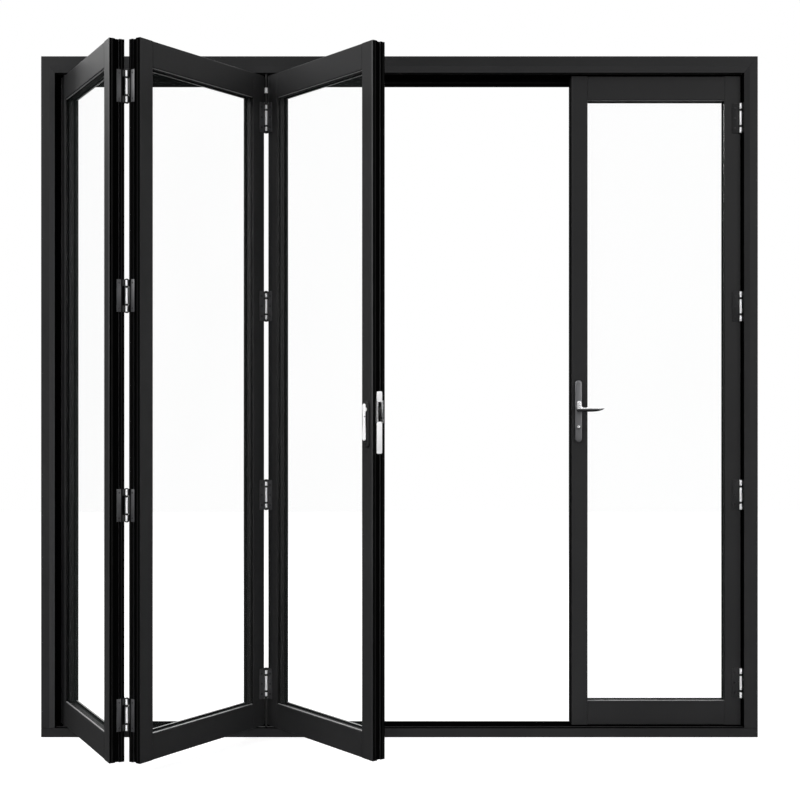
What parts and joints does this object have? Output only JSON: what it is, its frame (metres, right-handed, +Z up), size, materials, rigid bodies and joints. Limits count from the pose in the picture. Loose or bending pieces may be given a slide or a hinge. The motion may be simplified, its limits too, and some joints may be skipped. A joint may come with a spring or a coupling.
{
  "type": "bifold glass patio door",
  "caption": "Wide glazed patio door in an outer frame: leaves folded out in a stack on one side, and a hinged door leaf with a lever handle on the other.",
  "frame": {"origin": "middle of the underside of the threshold", "axes": "+Z up, +X along the wall towards the hinged door leaf, +Y from the side the leaves fold out to, through the wall"},
  "size_m": [2.21, 0.5316, 2.1],
  "materials": {
    "coated": "fine satin black powder coat on aluminium",
    "glass": "clear double glazing",
    "steel": "satin",
    "hinge": "grey satin coat",
    "track": "black nylon"
  },
  "bodies": {
    "frame": {"frame_head": "coated", "frame_jamb_left": "coated", "frame_jamb_right": "coated", "frame_threshold": "coated", "leaf_1_stile_left": "coated", "leaf_1_stile_right": "coated", "leaf_1_rail_top": "coated", "leaf_1_rail_bottom": "coated", "leaf_1_glass": "glass", "leaf_2_stile_left": "coated", "leaf_2_stile_right": "coated", "leaf_2_rail_top": "coated", "leaf_2_rail_bottom": "coated", "leaf_2_glass": "glass", "leaf_3_stile_left": "coated", "leaf_3_stile_right": "coated", "leaf_3_rail_top": "coated", "leaf_3_rail_bottom": "coated", "leaf_3_glass": "glass", "hinge_1_2_1": "hinge", "hinge_1_2_2": "hinge", "hinge_1_2_3": "hinge", "hinge_1_2_4": "hinge", "hinge_2_3_1": "hinge", "hinge_2_3_2": "hinge", "hinge_2_3_3": "hinge", "hinge_2_3_4": "hinge", "door_hinge_jamb_1": "hinge", "door_hinge_jamb_2": "hinge", "door_hinge_jamb_3": "hinge", "door_hinge_jamb_4": "hinge", "leaf_1_pivot_bottom": "hinge", "leaf_1_pivot_top": "hinge", "track_carriage": "track", "threshold_guide": "track", "leaf_3_keep": "steel", "bolt_plate": "coated"},
    "door_leaf": {"door_stile_left": "coated", "door_stile_right": "coated", "door_rail_top": "coated", "door_rail_bottom": "coated", "door_glass": "glass", "door_hinge_leaf_1": "hinge", "door_hinge_leaf_2": "hinge", "door_hinge_leaf_3": "hinge", "door_hinge_leaf_4": "hinge", "handle_plate_outer": "steel", "handle_plate_inner": "steel", "lock_cylinder_outer": "steel", "lock_cylinder_inner": "steel"},
    "lever": {"lever_outer": "steel", "lever_inner": "steel"},
    "bolt_lever": {"bolt_lever": "steel"}
  },
  "joints": [
    {"name": "door_swing", "type": "hinge", "parent": "frame", "child": "door_leaf", "pos_m": [1.0575, -0.0265, 1.0385], "axis": [0, 0, 1], "range_deg": [0, 100]},
    {"name": "lever_press", "type": "hinge", "parent": "door_leaf", "child": "lever", "pos_m": [0.5546, 0.001, 1.015], "axis": [0, 1, 0], "range_deg": [0, 40], "stiffness_Nm_per_rad": 3, "springref_deg": -20.05},
    {"name": "bolt_turn", "type": "hinge", "parent": "frame", "child": "bolt_lever", "pos_m": [-0.0897, -0.41398, 1.014], "axis": [0.7749, 0.632, 0], "range_deg": [0, 90]}
  ]
}
